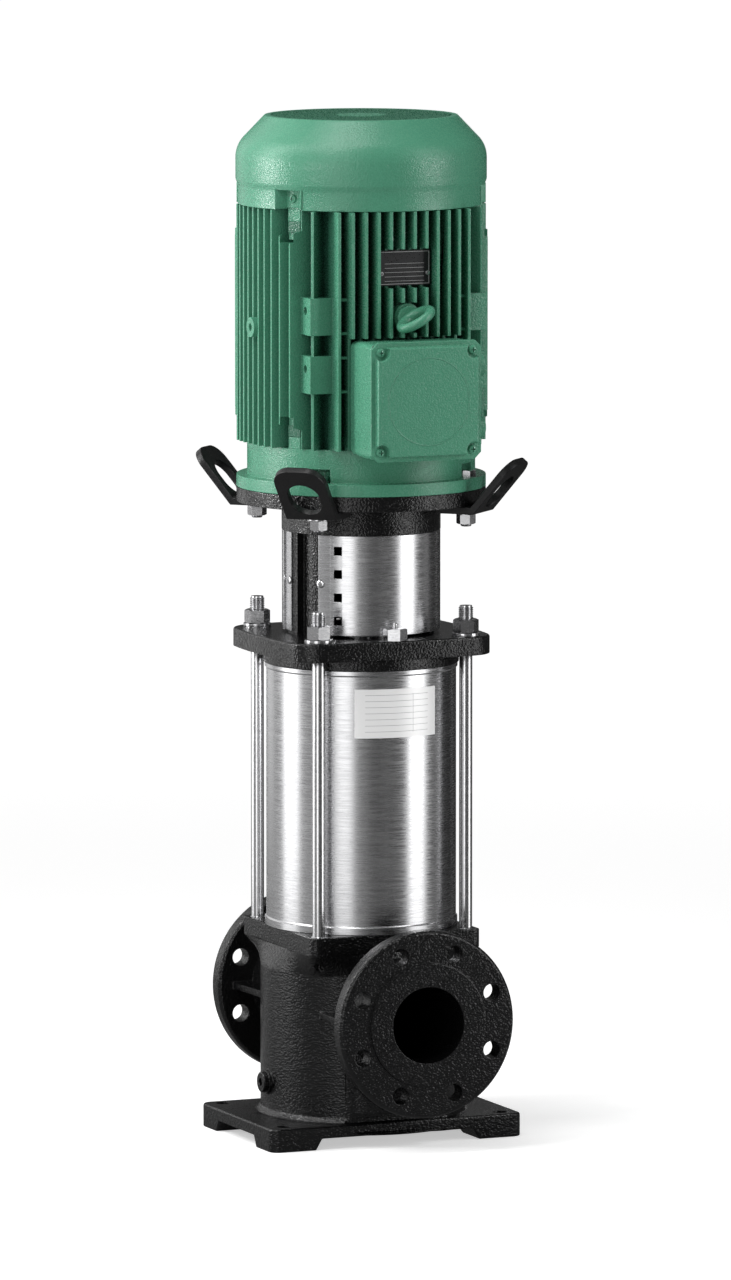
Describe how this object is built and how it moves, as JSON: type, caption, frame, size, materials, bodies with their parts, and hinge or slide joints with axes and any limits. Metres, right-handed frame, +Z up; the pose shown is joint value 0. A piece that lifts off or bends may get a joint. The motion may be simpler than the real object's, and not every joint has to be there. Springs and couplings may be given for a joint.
{
  "type": "vertical multistage pump",
  "caption": "Vertical in-line multistage water pump with flanged ports, steel barrel, coupling lantern, lifting lugs and a finned electric motor with terminal box and fan hood.",
  "frame": {"origin": "on the shaft axis at the floor, in the middle of the four foot bolts", "axes": "+Z up the shaft, -Y out of the front port and the terminal box, X along the long side of the foot plate"},
  "size_m": [0.2906, 0.365, 1.0915],
  "materials": {
    "casting_black": "gloss pebbled paint",
    "stainless": "brushed",
    "steel_bright": "zinc plated",
    "steel_shaft": "ground",
    "rubber": "matte",
    "motor_green": "satin orange peel",
    "lug_black": "satin",
    "carbon": "lapped",
    "copper": "varnished",
    "lamination": "sheared edges",
    "fan_plastic": "matte",
    "plate_black": "satin",
    "label_foil": "satin",
    "block_plastic": "matte",
    "brass": "bright"
  },
  "bodies": {
    "pump": {"base_casing": "casting_black", "drain_plug": "casting_black", "gauge_plug": "casting_black", "barrel_sleeve": "stainless", "sleeve_o_rings": "rubber", "casing_cover": "casting_black", "lantern": "casting_black", "tie_rods": "steel_bright", "tie_rod_nuts": "steel_bright", "washers": "steel_bright", "vent_plug": "steel_bright", "guard_front": "stainless", "guard_back": "stainless", "guard_screws": "steel_bright", "bearing_carrier": "stainless", "bearing_bush": "carbon", "clamp_spider": "stainless", "seal_seat": "carbon", "seal_cover": "stainless", "seal_cover_screws": "steel_bright", "rating_label": "label_foil", "lifting_lugs": "lug_black", "flange_bolts": "steel_bright", "flange_nuts": "steel_bright", "drive_shield": "motor_green", "motor_frame": "motor_green", "rear_shield": "motor_green", "shield_screws": "steel_bright", "stator_core": "lamination", "stator_windings": "copper", "bearing_outer_rings": "steel_shaft", "fan_cover": "motor_green", "fan_cover_screws": "motor_green", "terminal_box": "motor_green", "terminal_gasket": "rubber", "terminal_lid": "motor_green", "terminal_lid_screws": "motor_green", "terminal_block": "block_plastic", "blanking_plugs": "motor_green", "eyebolt": "motor_green", "nameplate": "plate_black", "nameplate_rivets": "steel_bright", "stage_casing_1": "stainless", "stage_casing_2": "stainless", "stage_casing_3": "stainless", "stage_casing_4": "stainless"},
    "rotor": {"pump_shaft": "steel_shaft", "shaft_nut": "steel_bright", "seal_head": "carbon", "coupling_halves": "casting_black", "coupling_screws": "steel_bright", "rotor_core": "lamination", "motor_shaft": "steel_shaft", "bearing_inner_rings": "steel_shaft", "cooling_fan": "fan_plastic", "impeller_1": "stainless", "impeller_2": "stainless", "impeller_3": "stainless", "impeller_4": "stainless"},
    "bleed": {"bleed_screw": "steel_bright"}
  },
  "joints": [
    {"name": "shaft_spin", "type": "hinge", "parent": "pump", "child": "rotor", "pos_m": [0, 0, 0.7], "axis": [0, 0, 1], "continuous": true},
    {"name": "bleed_turn", "type": "hinge", "parent": "pump", "child": "bleed", "pos_m": [-0.002, -0.097, 0.55], "axis": [0, 0, 1], "range_deg": [0, 720]}
  ]
}
